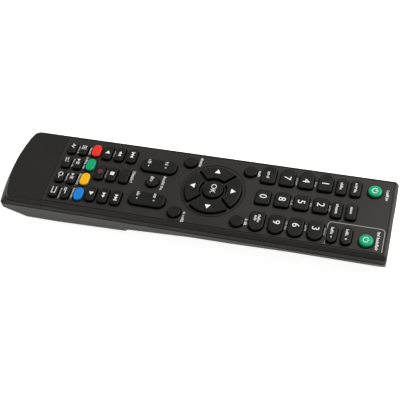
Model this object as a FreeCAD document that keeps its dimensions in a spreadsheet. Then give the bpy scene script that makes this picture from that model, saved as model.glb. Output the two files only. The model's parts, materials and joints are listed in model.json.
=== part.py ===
import FreeCAD, Part

import os
from math import cos, pi, sin, sqrt, tan

Vector = FreeCAD.Vector

# Handheld infrared remote control, lying key side up.
# +Y points to the infrared end, +X to the right-hand side, z = 0 is the surface it rests on.

driving = {
    # case, seen from above
    "bodyLength": 214.9,
    "bodyWidth": 50.0,
    # the case size that the key rows and columns below are laid out for
    "layoutLength": 214.9,
    "layoutWidth": 50.0,
    "irCornerRadius": 2.0,
    # battery end: how far it bows out and how round its corners are, at the parting line and at the shoulder
    "endBow": 2.5,
    "endCornerRadius": 2.0,
    "shoulderBow": 4.4,
    "shoulderCornerRadius": 5.5,
    "endLean": 2.5,
    # case, heights above the table
    "panelTop": 19.0,
    "shoulderHeight": 16.7,
    "partingHeight": 12.6,
    "partingGap": 0.2,
    "lipFootHeight": 1.2,
    "lipThickness": 0.6,
    "lipGap": 0.1,
    "lipRise": 0.4,
    "panelInset": 1.3,
    "panelEdgeRadius": 0.5,
    "panelThickness": 1.5,
    "wallThickness": 1.8,
    "grooveWidth": 0.5,
    "grooveDepth": 0.35,
    "seamRow": -79.35,
    "seamGap": 0.2,
    # hull below the parting line: sill height of the side, and how far in from it the flat belly starts
    "sillAtIrEnd": 10.1,
    "bilgeAtIrEnd": 10.0,
    "chestRow": 57.2,
    "sillAtChest": 10.05,
    "bilgeAtChest": 9.6,
    "gripRow": 26.2,
    "sillAtGrip": 8.85,
    "bilgeAtGrip": 9.0,
    "waistRow": 4.2,
    "sillAtWaist": 8.65,
    "bilgeAtWaist": 8.0,
    "sillBeforeCover": 6.0,
    "bilgeBeforeCover": 6.0,
    "sillAtCover": 4.6,
    "bilgeAtCover": 4.5,
    "bayRow": -72.8,
    "sillAtBay": 2.8,
    "bilgeAtBay": 3.5,
    "tailReach": 16.2,
    "sillAtTail": 2.9,
    "bilgeAtTail": 3.5,
    "tipReach": 5.7,
    "sillAtTip": 7.4,
    "bilgeAtTip": 8.0,
    "sillAtEnd": 11.0,
    "bilgeAtEnd": 12.0,
    "sillRadius": 3.0,
    "bellyCrease": 0.3,
    "endCurveLength": 19.9,
    "endCurveRadius": 22.6,
    "irCurveLength": 7.2,
    "irCurveRadius": 9.0,
    # battery cover
    "coverReach": 74.7,
    "tubReach": 68.0,
    "tubFloorReach": 13.2,
    "coverThickness": 1.3,
    "coverRise": 3.0,
    "coverGap": 0.15,
    "gripSetback": 6.0,
    "gripRibs": 5,
    "gripRibPitch": 2.4,
    "gripRibWidth": 1.0,
    "gripRibDepth": 0.4,
    "gripLength": 16.0,
    # two AAA cells side by side
    "cellLift": 0.1,
    "cellEdgeRadius": 0.4,
    "cellDiameter": 10.5,
    "cellLength": 44.5,
    "cellNubDiameter": 3.8,
    "cellNubLength": 1.0,
    "cellGap": 0.6,
    "cellClearance": 0.3,
    "tubWall": 1.2,
    "tubRoof": 0.7,
    "contactThickness": 0.4,
    "contactWidth": 8.0,
    "contactHeight": 8.5,
    "springLength": 2.2,
    "springDiameter": 6.0,
    # circuit board and keypad mat
    "boardThickness": 1.2,
    "boardInset": 2.6,
    "boardFrontGap": 7.6,
    "boardBackRow": -77.3,
    "matThickness": 1.3,
    "matInset": 2.8,
    "matFrontGap": 7.8,
    "matBackRow": -77.1,
    "matHoleGap": 0.4,
    # board screws and the bosses that they bite in
    "screwColumn": 7.7,
    "screwRowFront": 34.2,
    "screwBackColumn": 4.8,
    "screwRowBack": -33.1,
    "bossDiameter": 3.8,
    "screwDiameter": 1.6,
    "screwHeadDiameter": 3.2,
    "screwHeadHeight": 1.0,
    "boreSpare": 0.3,
    "screwLength": 3.6,
    "screwClearance": 0.1,
    # infrared emitter and window
    "ledDiameter": 3.0,
    "ledLength": 5.0,
    "ledRise": 0.8,
    "ledFlangeThickness": 0.8,
    "ledFlange": 3.8,
    "windowWidth": 12.0,
    "windowRise": 3.6,
    "windowFit": 0.05,
    # parts soldered under the board
    "chipLength": 18.0,
    "chipWidth": 7.5,
    "chipHeight": 2.3,
    "chipRow": 61.0,
    "crystalLength": 7.5,
    "crystalDiameter": 3.0,
    "crystalRow": 41.0,
    "capacitorDiameter": 5.0,
    "capacitorLength": 8.0,
    "capacitorRow": 83.0,
    # keys
    "keyGap": 0.1,
    "keyClearance": 0.45,
    "keyProud": 1.7,
    "powerKeyProud": 1.8,
    "keyTravel": 0.8,
    "keyStop": 0.1,
    "stemSpare": 0.6,
    "flangeThickness": 0.6,
    "flangeWidth": 0.8,
    "stemDiameter": 3.2,
    "keyEdgeRadius": 0.5,
    "domeRadius": 1.1,
    "cornerRadius": 1.5,
    "rockerDrop": 0.75,
    "ridgeLength": 5.0,
    "ridgeWidth": 1.6,
    # ring groove round the direction keys
    "ringRadius": 16.9,
    "ringWidth": 0.6,
    "ringDepth": 0.25,
    # rebate that shows as a dark line where the two shells meet
    "rebateHeight": 0.4,
    "rebateDepth": 0.45,
    # thin groove along the edge of the key panel
    "edgeGrooveInset": 1.85,
    "edgeGrooveWidth": 0.4,
    "edgeGrooveDepth": 0.3,
    # key columns and rows
    "powerLeftColumn": -14.5,
    "powerRightColumn": 17.1,
    "powerRow": 95.95,
    "upperRow": 86.05,
    "lowerRow": 78.55,
    "smallLeftColumn": -14.5,
    "smallMiddleColumn": 0.9,
    "smallRightColumn": 15.9,
    "digitRow": 70.05,
    "digitPitch": 10.2,
    "digitLeftColumn": -15.6,
    "digitMiddleColumn": -0.3,
    "digitRightColumn": 15.6,
    "exitColumn": -16.0,
    "infoColumn": 17.4,
    "cornerKeyFrontRow": 29.25,
    "pictureColumn": -16.5,
    "soundColumn": 17.7,
    "cornerKeyBackRow": -4.65,
    "padColumn": -0.2,
    "padRow": 11.95,
    "rockerRow": -21.35,
    "guideRow": -21.95,
    "volumeColumn": -10.4,
    "guideColumn": 0.4,
    "channelColumn": 12.7,
    "playRow": -38.25,
    "playPitch": 7.2,
    "playLeftColumn": -14.8,
    "playMiddleColumn": -0.4,
    "playRightColumn": 14.6,
    "colourRow": -59.55,
    "colourPitch": 10.3,
    "colourMiddle": 0.6,
    "textRow": -66.95,
    "textPitch": 6.8,
    "textMiddle": 1.1,
    # key sizes across (X) and along (Y)
    "powerDiameter": 7.5,
    "digitAcross": 9.4,
    "digitAlong": 7.6,
    "sideDigitAcross": 11.6,
    "smallAcross": 10.2,
    "sideSmallAcross": 10.6,
    "pillAcross": 11.1,
    "smallAlong": 5.2,
    "cornerKeyDiameter": 7.0,
    "okDiameter": 11.1,
    "padInnerRadius": 7.5,
    "padOuterRadius": 15.3,
    "padRibHalf": 1.1,
    "rockerAcross": 8.5,
    "rockerAlong": 20.0,
    "rockerCornerRadius": 3.4,
    "playAcross": 9.5,
    "playAlong": 4.9,
    "colourAcross": 8.3,
    "colourAlong": 5.0,
    "textAcross": 7.4,
    "textAlong": 4.5,
}

doc = FreeCAD.newDocument("RemoteControl")
sheet = doc.addObject("Spreadsheet::Sheet", "Sizes")
for number, (alias, value) in enumerate(driving.items(), start=1):
    sheet.set("A%d" % number, alias)
    sheet.set("B%d" % number, str(value))
    sheet.setAlias("B%d" % number, alias)
doc.recompute()


def size(alias):
    return float(sheet.get(alias))


halfLength = size("bodyLength") / 2
halfWidth = size("bodyWidth") / 2
tall = 2 * size("panelTop")
wide = size("bodyWidth")
far = size("bodyLength")


def row(alias, pitch=None, steps=0):
    """Place along Y, stretched with the case."""
    place = size(alias) - (size(pitch) * steps if pitch else 0)
    return place * size("bodyLength") / size("layoutLength")


def column(alias):
    """Place along X, stretched with the case."""
    return size(alias) * size("bodyWidth") / size("layoutWidth")


panelUnder = size("panelTop") - size("panelThickness")
flangeTop = panelUnder - size("keyGap")
lowerTop = size("partingHeight") - size("partingGap")

# stack under the flanges: travel, mat and board
stemEnd = size("flangeThickness") + size("keyTravel") + size("keyStop") + size("stemSpare")
boardTop = flangeTop - stemEnd - size("keyTravel") - size("keyStop")
boardBottom = boardTop - size("boardThickness")
tubCeiling = boardBottom - size("partingGap")
cellCentre = size("coverThickness") + size("coverGap") + size("cellDiameter") / 2 + size("cellLift")


# Outlines

def roundedEdges(points, radii):
    """Lines and arcs of a closed polygon, each corner rounded by its own radius."""
    edges = []
    starts, ends, middles = [], [], []
    count = len(points)
    for i in range(count):
        corner, radius = points[i], radii[i]
        before = (points[i - 1] - corner).normalize()
        after = (points[(i + 1) % count] - corner).normalize()
        if radius <= 0:
            starts.append(corner)
            ends.append(corner)
            middles.append(None)
            continue
        angle = before.getAngle(after)
        reach = radius / tan(angle / 2)
        bisector = (before + after).normalize()
        centre = corner + bisector * (radius / sin(angle / 2))
        starts.append(corner + before * reach)
        ends.append(corner + after * reach)
        middles.append(centre - bisector * radius)
    for i in range(count):
        if middles[i] is not None:
            edges.append(Part.Arc(starts[i], middles[i], ends[i]))
        following = starts[(i + 1) % count]
        if (following - ends[i]).Length > 1e-6:
            edges.append(Part.LineSegment(ends[i], following))
    return edges


def wireOf(curves):
    return Part.Wire([curve.toShape() for curve in curves])


def planWire(inset, height):
    """Case outline at a height: square infrared end, bowed battery end that leans in up to the shoulder."""
    half = halfWidth - inset
    front = halfLength - inset
    nose = size("irCornerRadius") - min(inset, size("irCornerRadius") - 0.4)
    rise = (height - size("partingHeight")) / (size("shoulderHeight") - size("partingHeight"))
    rise = min(max(rise, 0), 1)
    bow = size("endBow") + rise * (size("shoulderBow") - size("endBow"))
    fullArc = (halfWidth ** 2 + bow ** 2) / (2 * bow)
    fullCorner = size("endCornerRadius") + rise * (size("shoulderCornerRadius") - size("endCornerRadius"))
    arc = fullArc - inset
    corner = max(fullCorner - inset, 0.3)
    arcCentre = -halfLength + rise * size("endLean") + fullArc
    cornerX = half - corner
    cornerY = arcCentre - sqrt((arc - corner) ** 2 - cornerX ** 2)
    outward = Vector(cornerX, cornerY - arcCentre, 0).normalize()
    touch = Vector(0, arcCentre, height) + outward * arc
    bulge = (outward + Vector(1, 0, 0)).normalize()
    middle = Vector(cornerX, cornerY, height) + bulge * corner
    noseMiddle = nose * (1 - sqrt(0.5))

    def mirrored(point):
        return Vector(-point.x, point.y, point.z)

    frontRight = Vector(half - nose, front, height)
    sideFront = Vector(half, front - nose, height)
    noseRight = Vector(half - noseMiddle, front - noseMiddle, height)
    sideBack = Vector(half, cornerY, height)
    apex = Vector(0, arcCentre - arc, height)
    return wireOf([
        Part.LineSegment(mirrored(frontRight), frontRight),
        Part.Arc(frontRight, noseRight, sideFront),
        Part.LineSegment(sideFront, sideBack),
        Part.Arc(sideBack, middle, touch),
        Part.Arc(touch, apex, mirrored(touch)),
        Part.Arc(mirrored(touch), mirrored(middle), mirrored(sideBack)),
        Part.LineSegment(mirrored(sideBack), mirrored(sideFront)),
        Part.Arc(mirrored(sideFront), mirrored(noseRight), mirrored(frontRight)),
    ])


def planBlock(inset, bottom, top):
    return Part.Face(planWire(inset, bottom)).extrude(Vector(0, 0, top - bottom))


def planLoft(inset, bottom, top, topInset=None):
    """The space between the outlines of two heights."""
    upperInset = inset if topInset is None else topInset
    return Part.makeLoft([planWire(inset, bottom), planWire(upperInset, top)], True, True)


def block(x0, x1, y0, y1, z0, z1):
    return Part.makeBox(x1 - x0, y1 - y0, z1 - z0, Vector(x0, y0, z0))


def hullWire(place, sill, bilge, inset):
    """Cross-section of the lower hull: upright side, slanted bilge, flat belly."""
    half = halfWidth - inset
    top = size("partingHeight")
    sillZ = sill + inset * 0.6
    bellyX = halfWidth - bilge - inset * 0.5
    bellyZ = inset - size("bellyCrease")
    points = [
        Vector(-half, place, top),
        Vector(half, place, top),
        Vector(half, place, sillZ),
        Vector(bellyX, place, bellyZ),
        Vector(-bellyX, place, bellyZ),
        Vector(-half, place, sillZ),
    ]
    turn = min(size("sillRadius"), (half - bellyX) * 0.6, (top - sillZ) * 1.5)
    return wireOf(roundedEdges(points, [0, 0, turn, turn, turn, turn]))


coverFront = -halfLength + size("coverReach")
coverFrontRow = (coverFront, size("sillAtCover"), size("bilgeAtCover"))
gripRows = [
    (halfLength, size("sillAtIrEnd"), size("bilgeAtIrEnd")),
    (row("chestRow"), size("sillAtChest"), size("bilgeAtChest")),
    (row("gripRow"), size("sillAtGrip"), size("bilgeAtGrip")),
    (row("waistRow"), size("sillAtWaist"), size("bilgeAtWaist")),
    (coverFront, size("sillBeforeCover"), size("bilgeBeforeCover")),
]
batteryRows = [
    coverFrontRow,
    (row("bayRow"), size("sillAtBay"), size("bilgeAtBay")),
    (-halfLength + size("tailReach"), size("sillAtTail"), size("bilgeAtTail")),
    (-halfLength + size("tipReach"), size("sillAtTip"), size("bilgeAtTip")),
    (-halfLength - 1, size("sillAtEnd"), size("bilgeAtEnd")),
]
# straight along Y, so that the cover can slide over it
railRows = [coverFrontRow, (-halfLength - 1,) + coverFrontRow[1:]]


def hullBlock(inset, rowSets=(gripRows, batteryRows)):
    """The lower hull, cut by the outline and by the curved undersides of both ends."""
    parts = [Part.makeLoft([hullWire(*row, inset) for row in rows], True, True) for rows in rowSets]
    hull = parts[0].fuse(parts[1:]) if len(parts) > 1 else parts[0]
    hull = hull.common(planBlock(inset, inset, size("partingHeight")))
    return hull.cut([endCurveCutter("endCurve", -1, inset), endCurveCutter("irCurve", 1, inset)])


def endCurveCutter(name, way, inset):
    """What lies outside the rounded underside of one end."""
    start = way * (halfLength - size(name + "Length"))
    centre = size(name + "Radius")
    radius = centre - inset
    low = -5.0
    bottom = Vector(-wide, start, centre - radius)
    reach = sqrt(0.5) * radius
    middle = Vector(bottom.x, start + way * reach, centre - reach)
    rise = Vector(bottom.x, start + way * radius, centre)
    outer = Vector(bottom.x, start + way * 3 * radius, centre)
    outerLow = Vector(bottom.x, start + way * 3 * radius, low)
    innerLow = Vector(bottom.x, start, low)
    outline = wireOf([
        Part.Arc(bottom, middle, rise),
        Part.LineSegment(rise, outer),
        Part.LineSegment(outer, outerLow),
        Part.LineSegment(outerLow, innerLow),
        Part.LineSegment(innerLow, bottom),
    ])
    return Part.Face(outline).extrude(Vector(2 * wide, 0, 0))


# Key outlines, in the key's own frame and grown all round by a margin

def roundKey(diameter):
    def edges(grow):
        return [Part.Circle(Vector(), Vector(0, 0, 1), size(diameter) / 2 + grow)]
    return edges


def boxKey(across, along, left="corner", right="corner"):
    """Rounded key; an end named round is a half circle."""
    def edges(grow):
        halfX = size(across) / 2 + grow
        halfY = size(along) / 2 + grow
        full = halfY - 0.01
        small = size("cornerRadius") + grow
        leftRadius = full if left == "round" else small
        rightRadius = full if right == "round" else small
        points = [Vector(-halfX, -halfY), Vector(halfX, -halfY), Vector(halfX, halfY), Vector(-halfX, halfY)]
        return roundedEdges(points, [leftRadius, rightRadius, rightRadius, leftRadius])
    return edges


def rockerKey(grow):
    halfX = size("rockerAcross") / 2 + grow
    halfY = size("rockerAlong") / 2 + grow
    points = [Vector(-halfX, -halfY), Vector(halfX, -halfY), Vector(halfX, halfY), Vector(-halfX, halfY)]
    return roundedEdges(points, [size("rockerCornerRadius") + grow] * 4)


def sectorKey(turn):
    """Quarter of the ring round the centre key; turn counts quarter turns from +X."""
    def edges(grow):
        inner = size("padInnerRadius") - grow
        outer = size("padOuterRadius") + grow
        rib = size("padRibHalf") - grow

        def corner(radius, side):
            along = sqrt(radius ** 2 - rib ** 2)
            x = (along + rib) * sqrt(0.5)
            y = (along - rib) * sqrt(0.5)
            return Vector(x, side * y)

        def turned(point):
            angle = turn * pi / 2
            return Vector(point.x * cos(angle) - point.y * sin(angle), point.x * sin(angle) + point.y * cos(angle))

        outerLow, outerHigh = turned(corner(outer, -1)), turned(corner(outer, 1))
        innerLow, innerHigh = turned(corner(inner, -1)), turned(corner(inner, 1))
        return [
            Part.Arc(outerLow, turned(Vector(outer, 0)), outerHigh),
            Part.LineSegment(outerHigh, innerHigh),
            Part.Arc(innerHigh, turned(Vector(inner, 0)), innerLow),
            Part.LineSegment(innerLow, outerLow),
        ]
    return edges


digit = boxKey("digitAcross", "digitAlong")
leftDigit = boxKey("sideDigitAcross", "digitAlong", left="round")
rightDigit = boxKey("sideDigitAcross", "digitAlong", right="round")
smallKey = boxKey("smallAcross", "smallAlong")
sideKey = boxKey("sideSmallAcross", "smallAlong")
pillKey = boxKey("pillAcross", "smallAlong", "round", "round")
playKey = boxKey("playAcross", "playAlong")
colourKey = boxKey("colourAcross", "colourAlong", "round", "round")
textKey = boxKey("textAcross", "textAlong")
cornerKey = roundKey("cornerKeyDiameter")
powerKey = roundKey("powerDiameter")
okKey = roundKey("okDiameter")

# name, column, rows (alias, pitch, steps), outline, height above the panel, rounding of the top edge
usual = ("keyProud", "keyEdgeRadius")
domed = ("powerKeyProud", "domeRadius")
upperRow, lowerRow = [("upperRow",)], [("lowerRow",)]
frontRow, backRow = [("cornerKeyFrontRow",)], [("cornerKeyBackRow",)]
menuRow = [("digitRow", "digitPitch", 3)]
padRow, rockerRow = [("padRow",)], [("rockerRow",)]
textRows = [("textRow",), ("textRow", "textPitch", 1)]
digitColumns = ("digitLeftColumn", "digitMiddleColumn", "digitRightColumn")
playColumns = ("playLeftColumn", "playMiddleColumn", "playRightColumn")

keys = [
    ("power_key", "powerLeftColumn", [("powerRow",)], powerKey, domed),
    ("second_power_key", "powerRightColumn", [("powerRow",)], powerKey, domed),
    ("function_key", "smallLeftColumn", upperRow, sideKey, usual),
    ("radio_key", "smallMiddleColumn", upperRow, smallKey, usual),
    ("second_volume_up_key", "smallRightColumn", upperRow, pillKey, usual),
    ("disc_key", "smallLeftColumn", lowerRow, sideKey, usual),
    ("screen_key", "smallMiddleColumn", lowerRow, smallKey, usual),
    ("second_volume_down_key", "smallRightColumn", lowerRow, pillKey, usual),
    ("menu_key", "digitLeftColumn", menuRow, leftDigit, usual),
    ("digit_0_key", "digitMiddleColumn", menuRow, digit, usual),
    ("recall_key", "digitRightColumn", menuRow, rightDigit, usual),
    ("exit_key", "exitColumn", frontRow, cornerKey, usual),
    ("info_key", "infoColumn", frontRow, cornerKey, usual),
    ("picture_key", "pictureColumn", backRow, cornerKey, usual),
    ("sound_key", "soundColumn", backRow, cornerKey, usual),
    ("ok_key", "padColumn", padRow, okKey, usual),
    ("volume_rocker", "volumeColumn", rockerRow, rockerKey, usual),
    ("guide_key", "guideColumn", [("guideRow",)], cornerKey, usual),
    ("channel_rocker", "channelColumn", rockerRow, rockerKey, usual),
]
for step, name in enumerate(("right", "up", "left", "down")):
    keys.append((name + "_key", "padColumn", padRow, sectorKey(step), usual))
for value in range(1, 10):
    steps, across = divmod(value - 1, 3)
    rows = [("digitRow", "digitPitch", steps)]
    keys.append(("digit_%d_key" % value, digitColumns[across], rows, (leftDigit, digit, rightDigit)[across], usual))
for steps, names in enumerate((("previous", "source", "next"), ("rewind", "stop", "forward"),
                               ("reverse", "record", "play"))):
    for name, alias in zip(names, playColumns):
        keys.append((name + "_key", alias, [("playRow", "playPitch", steps)], playKey, usual))
for steps, name in enumerate(("red", "green", "yellow", "blue")):
    keys.append((name + "_key", ("colourMiddle", steps - 1.5), [("colourRow",)], colourKey, usual))
for steps, name in enumerate(("subtitle", "text", "index", "size")):
    keys.append((name + "_key_pair", ("textMiddle", steps - 1.5), textRows, textKey, usual))


def rowExpression(alias, pitch=None, steps=0):
    place = "(Sizes.%s - %d * Sizes.%s)" % (alias, steps, pitch) if pitch else "Sizes." + alias
    return place + " * Sizes.bodyLength / Sizes.layoutLength"


def columnExpression(alias):
    """A named column, or a middle line with a number of colour key pitches from it."""
    if isinstance(alias, tuple):
        middle, steps = alias
        place = "(Sizes.%s + %g * Sizes.colourPitch)" % (middle, steps)
    else:
        place = "Sizes." + alias
    return place + " * Sizes.bodyWidth / Sizes.layoutWidth"


rockers = ("volume_rocker", "channel_rocker")


# Keys: a cap through the panel, a flange that keeps it in, and a stem that reaches for the board

def originPlane(body, role):
    return [feature for feature in body.Origin.OriginFeatures if feature.Role == role][0]


def padOf(body, name, curves, length, downwards, plane="XY_Plane"):
    sketch = body.newObject("Sketcher::SketchObject", name + "Sketch")
    sketch.AttachmentSupport = [(originPlane(body, plane), "")]
    sketch.MapMode = "FlatFace"
    sketch.addGeometry(curves, False)
    pad = body.newObject("PartDesign::Pad", name)
    pad.Profile = sketch
    pad.setExpression("Length", length)
    pad.Reversed = downwards
    return pad


def edgesAt(shape, height):
    """Names of the edges that lie wholly at one height."""
    names = []
    for number, edge in enumerate(shape.Edges, start=1):
        box = edge.BoundBox
        if abs(box.ZMin - height) < 1e-4 and abs(box.ZMax - height) < 1e-4:
            names.append("Edge%d" % number)
    return names


def uprightEdges(shape):
    names = []
    for number, edge in enumerate(shape.Edges, start=1):
        box = edge.BoundBox
        if box.XLength < 1e-4 and box.YLength < 1e-4 and box.ZLength > 1:
            names.append("Edge%d" % number)
    return names


def filletOf(body, name, base, edgeNames, radius):
    fillet = body.newObject("PartDesign::Fillet", name)
    fillet.Base = (base, edgeNames)
    fillet.setExpression("Radius", radius)
    return fillet


def keyBody(label, outline, top, columnPlace, rowPlace):
    proud, edgeRadius = top
    rocker = label in rockers
    drop = "Sizes.rockerDrop" if rocker else "0"
    capLength = "Sizes.panelThickness + Sizes.keyGap + Sizes.%s + %s" % (proud, drop)
    body = doc.addObject("PartDesign::Body", "Key")
    cap = padOf(body, "Cap", outline(0), capLength, False)
    doc.recompute()
    if label in ("right_key", "up_key", "left_key", "down_key"):
        cap = filletOf(body, "Corners", cap, uprightEdges(cap.Shape), "Sizes.cornerRadius * 0.6")
        doc.recompute()
    capTop = cap.Shape.BoundBox.ZMax
    filletOf(body, "TopEdge", cap, edgesAt(cap.Shape, capTop), "Sizes." + edgeRadius)
    doc.recompute()
    padOf(body, "Flange", outline(size("flangeWidth")), "Sizes.flangeThickness", True)
    if rocker:
        halfX, halfY = size("ridgeLength") / 2, size("ridgeWidth") / 2
        corners = [Vector(-halfX, -halfY), Vector(halfX, -halfY), Vector(halfX, halfY), Vector(-halfX, halfY)]
        reach = flangeTop - boardTop - size("rockerDrop") - size("keyStop") - halfY
        padOf(body, "Ridge", roundedEdges(corners, [0, 0, 0, 0]), "%g" % reach, True)
        nose = padOf(body, "Nose", [Part.Circle(Vector(0, -reach, 0), Vector(0, 0, 1), halfY)],
                     "Sizes.ridgeLength", False, "YZ_Plane")
        nose.Midplane = True
    else:
        centre = stemCentre(label)
        stem = [Part.Circle(centre, Vector(0, 0, 1), size("stemDiameter") / 2)]
        padOf(body, "Stem", stem, "%g" % stemEnd, True)
    body.setExpression(".Placement.Base.x", columnExpression(columnPlace))
    body.setExpression(".Placement.Base.y", rowExpression(*rowPlace))
    body.setExpression(".Placement.Base.z", "%g - %s" % (flangeTop, drop))
    return body


def stemCentre(label):
    """The ring keys have their stem in the middle of their quarter."""
    mean = (size("padInnerRadius") + size("padOuterRadius")) / 2
    places = {
        "right_key": Vector(mean, 0),
        "up_key": Vector(0, mean),
        "left_key": Vector(-mean, 0),
        "down_key": Vector(0, -mean),
    }
    return places.get(label, Vector())


finished = []
holes = []
matHoles = []
for label, columnPlace, rowPlaces, outline, top in keys:
    bodies = [keyBody(label, outline, top, columnPlace, place) for place in rowPlaces]
    doc.recompute()
    if len(bodies) == 1:
        bodies[0].Label = label
        finished.append(bodies[0])
    else:
        pair = doc.addObject("Part::Compound", "Pair")
        pair.Links = bodies
        pair.Label = label
        finished.append(pair)
    for body in bodies:
        base = body.Placement.Base
        hole = Part.Face(wireOf(outline(size("keyClearance"))))
        hole.translate(Vector(base.x, base.y, panelUnder - 1))
        holes.append(hole.extrude(Vector(0, 0, size("panelThickness") + 2)))
        low = Vector(base.x, base.y, boardTop - 1)
        if label in rockers:
            opening = Part.Face(wireOf(outline(size("flangeWidth") + size("matHoleGap"))))
            opening.translate(low)
            matHoles.append(opening.extrude(Vector(0, 0, size("matThickness") + 2)))
        else:
            radius = size("stemDiameter") / 2 + size("matHoleGap")
            matHoles.append(Part.makeCylinder(radius, size("matThickness") + 2, low + stemCentre(label)))


def feature(label, shape):
    """A piece whose shape is worked out above from the sheet."""
    piece = doc.addObject("Part::Feature", "Piece")
    piece.Shape = shape
    piece.Label = label
    finished.append(piece)
    return piece


screwPairs = (("screwColumn", "screwRowFront"), ("screwBackColumn", "screwRowBack"))
screwPlaces = [Vector(side * column(across), row(along), 0) for across, along in screwPairs for side in (-1, 1)]


def screwHoles(diameter, bottom, top):
    return [Part.makeCylinder(diameter / 2, top - bottom, place + Vector(0, 0, bottom)) for place in screwPlaces]


# Upper shell: side band, sloped shoulder, flat key panel, then the seam of the end panel

def upperShell():
    parting, shoulder, top = size("partingHeight"), size("shoulderHeight"), size("panelTop")
    wall = size("wallThickness")
    shell = planLoft(0, parting, shoulder).fuse(planLoft(0, shoulder, top, size("panelInset")))
    rim = [edge for edge in shell.Edges if edge.BoundBox.ZMin > top - 1e-4]
    shell = shell.makeFillet(size("panelEdgeRadius"), rim)
    shell = shell.cut([planLoft(wall, parting, shoulder), planBlock(wall, shoulder, panelUnder)])
    grooveBottom = shoulder - size("grooveWidth")
    groove = planBlock(-1, grooveBottom, shoulder).cut(planLoft(size("grooveDepth"), grooveBottom, shoulder))
    ring = Part.makeCylinder(size("ringRadius") + size("ringWidth"), size("ringDepth") + 1)
    ring = ring.cut(Part.makeCylinder(size("ringRadius"), size("ringDepth") + 1))
    ring.translate(Vector(column("padColumn"), row("padRow"), top - size("ringDepth")))
    edgeInset, edgeBottom = size("edgeGrooveInset"), top - size("edgeGrooveDepth")
    edgeInner = edgeInset + size("edgeGrooveWidth")
    edge = planBlock(edgeInset, edgeBottom, tall).cut(planBlock(edgeInner, edgeBottom, tall))
    edge = edge.common(block(-wide, wide, row("seamRow"), far, 0, tall))
    rebateTop = parting + size("rebateHeight")
    rebate = planBlock(-1, parting - 1, rebateTop).cut(planBlock(size("rebateDepth"), parting - 1, rebateTop))
    return shell.cut([groove, ring, edge, rebate])


shell = upperShell()
seamFront = row("seamRow") + size("seamGap") / 2
seamBack = row("seamRow") - size("seamGap") / 2
frontHalf = block(-wide, wide, seamFront, far, 0, tall)
backHalf = block(-wide, wide, -far, seamBack, 0, tall)

windowBottom = size("partingHeight")
windowTop = windowBottom + size("windowRise")
windowCut = block(-size("windowWidth") / 2, size("windowWidth") / 2, halfLength - size("wallThickness") - 1,
                  halfLength + 1, windowBottom - 1, windowTop)
upperCase = shell.common(frontHalf).cut(windowCut).cut(holes)
upperCase = upperCase.fuse(screwHoles(size("bossDiameter"), boardTop, panelUnder))
boreTop = boardTop + size("screwLength") - size("boardThickness") + size("boreSpare")
upperCase = upperCase.cut(screwHoles(size("screwDiameter") + 2 * size("screwClearance"), boardTop, boreTop))
feature("upper_case", upperCase.removeSplitter())
feature("end_panel", shell.common(backHalf))

# Infrared window in the front wall of the upper shell
fit = size("windowFit")
window = block(-size("windowWidth") / 2 + fit, size("windowWidth") / 2 - fit,
               halfLength - size("wallThickness"), halfLength, windowBottom, windowTop - fit)
feature("ir_window", window)

# Lower shell with the battery tub, and the cover that slides over it
hull = hullBlock(0)
coverRise, gap = size("coverRise"), size("coverGap")
coverUnder = size("coverThickness") + gap
coverZone = block(-wide, wide, -far, coverFront, -5, coverRise)
caseZone = block(-wide, wide, -far, coverFront + gap, -5, coverRise + gap)

tubWall = size("tubWall")
tubHalf = size("cellDiameter") + size("cellGap") / 2 + size("cellClearance")
cellSlack = 2 * size("contactThickness") + size("springLength") + 2 * size("cellClearance")
tubLength = size("cellLength") + size("cellNubLength") + cellSlack
tubFront = -halfLength + size("tubReach")
tubBack = tubFront - tubLength
tub = block(-tubHalf, tubHalf, tubBack, tubFront, -5, tubCeiling - size("tubRoof"))
tubShell = block(-tubHalf - tubWall, tubHalf + tubWall, tubBack - tubWall, tubFront + tubWall,
                 coverUnder, tubCeiling).cut(endCurveCutter("endCurve", -1, coverUnder))

wall = size("wallThickness")
cavity = hullBlock(wall).common(planBlock(wall, 0, size("partingHeight") + 1))
floorBack = -halfLength + size("tubFloorReach")
floorZone = block(-wide, wide, floorBack, coverFront + tubWall + 1, -5, coverUnder + wall)
lipInner = wall + size("lipGap") + size("lipThickness")
lipFoot = planBlock(0, lowerTop - size("lipFootHeight"), lowerTop).cut(planBlock(lipInner, 0, tall))
cavity = cavity.cut([tubShell, floorZone, lipFoot])
rail = hull.common([caseZone]).common(hullBlock(coverUnder, [railRows]))
lowerCase = hull.cut(caseZone).fuse(rail)
lowerCase = lowerCase.cut([cavity, tub, block(-wide, wide, -far, far, lowerTop, tall)])
lip = planLoft(wall + size("lipGap"), lowerTop, size("partingHeight") + size("lipRise"))
lip = lip.cut(planBlock(lipInner, 0, tall))
lowerCase = lowerCase.fuse([tubShell.cut(tub), lip])
feature("lower_case", lowerCase.removeSplitter())

cover = hull.common(coverZone).cut(hullBlock(size("coverThickness"), [railRows]))
ribPlace = coverFront - size("gripSetback")
ribCuts = []
for step in range(int(size("gripRibs"))):
    ribY = ribPlace - step * size("gripRibPitch")
    ribCuts.append(block(-size("gripLength") / 2, size("gripLength") / 2, ribY - size("gripRibWidth"), ribY,
                         -1, size("gripRibDepth")))
feature("battery_cover", cover.cut(ribCuts))

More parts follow.
